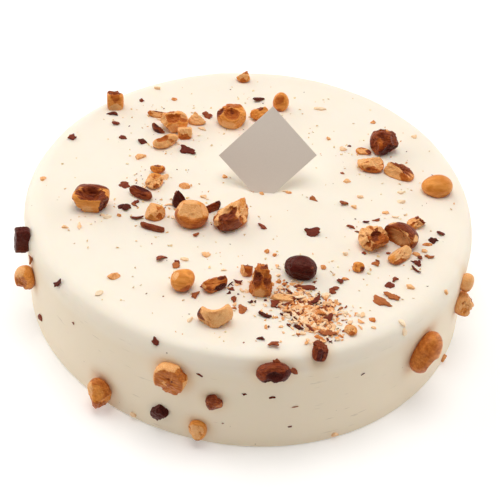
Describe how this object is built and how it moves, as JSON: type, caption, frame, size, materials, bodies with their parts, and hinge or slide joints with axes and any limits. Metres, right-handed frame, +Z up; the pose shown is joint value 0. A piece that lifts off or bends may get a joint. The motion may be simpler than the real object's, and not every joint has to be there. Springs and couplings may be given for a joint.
{
  "type": "entremet cake",
  "caption": "Round mousse cake under smooth cream glaze, strewn with broken roasted hazelnuts, dark chocolate chips and crumbs, with a small blank card stuck in its top.",
  "frame": {"origin": "middle of the cake's flat base", "axes": "+Z up out of the cake's top, +X to the right and +Y away from the front, where most of the side toppings are"},
  "size_m": [0.202, 0.2065, 0.0852],
  "materials": {
    "cream_glaze": "satin",
    "card_paper": "matte",
    "roasted_nut": "satin",
    "pale_nut": "satin",
    "nut_skin": "satin",
    "dark_chocolate": "satin"
  },
  "bodies": {
    "root": {"nut_cup_left": "nut_skin", "nut_block_back_left": "roasted_nut", "nut_back_rim": "roasted_nut", "nut_long_back": "pale_nut", "nut_cup_cluster": "roasted_nut", "nut_wedge_cluster": "pale_nut", "nut_block_cluster": "pale_nut", "skin_flake_cluster": "nut_skin", "nut_slice": "pale_nut", "nut_stack_top": "nut_skin", "nut_stack_low": "pale_nut", "skin_shell_left": "nut_skin", "nut_smooth_left": "roasted_nut", "skin_flake_left": "nut_skin", "chocolate_upright": "dark_chocolate", "nut_cut_face": "pale_nut", "chocolate_curl": "dark_chocolate", "nut_glossy_chunk": "nut_skin", "nut_cup_back": "roasted_nut", "nut_behind_card": "roasted_nut", "nut_half_back": "roasted_nut", "nut_dark_right": "nut_skin", "nut_chip_right": "pale_nut", "nut_chunk_right": "pale_nut", "nut_wedge_right": "nut_skin", "nut_smooth_right": "roasted_nut", "nut_small_right": "nut_skin", "nut_hollow_right": "roasted_nut", "nut_shell_right": "nut_skin", "nut_wedge_light": "pale_nut", "nut_whole_front": "roasted_nut", "nut_skin_front": "roasted_nut", "nut_red_front": "nut_skin", "nut_tall_front": "nut_skin", "nut_dark_front": "dark_chocolate", "nut_flake_front": "pale_nut", "nut_crescent_front": "pale_nut", "nut_small_front": "roasted_nut", "nut_chip_front": "pale_nut", "chocolate_side_left": "dark_chocolate", "nut_side_left": "roasted_nut", "nut_side_low_left": "roasted_nut", "nut_side_front": "roasted_nut", "chocolate_side_low": "dark_chocolate", "chocolate_side_front": "nut_skin", "nut_side_foot": "roasted_nut", "chocolate_half_front": "dark_chocolate", "chocolate_rim_front": "dark_chocolate", "nut_side_right": "roasted_nut", "nut_edge_upper": "pale_nut", "nut_edge_lower": "roasted_nut", "nut_side_back": "roasted_nut", "nut_side_back_low": "roasted_nut", "chocolate_side_back": "dark_chocolate", "nut_rim_back": "roasted_nut", "chocolate_back_low": "nut_skin", "cake": "cream_glaze", "card": "card_paper"}
  },
  "joints": []
}
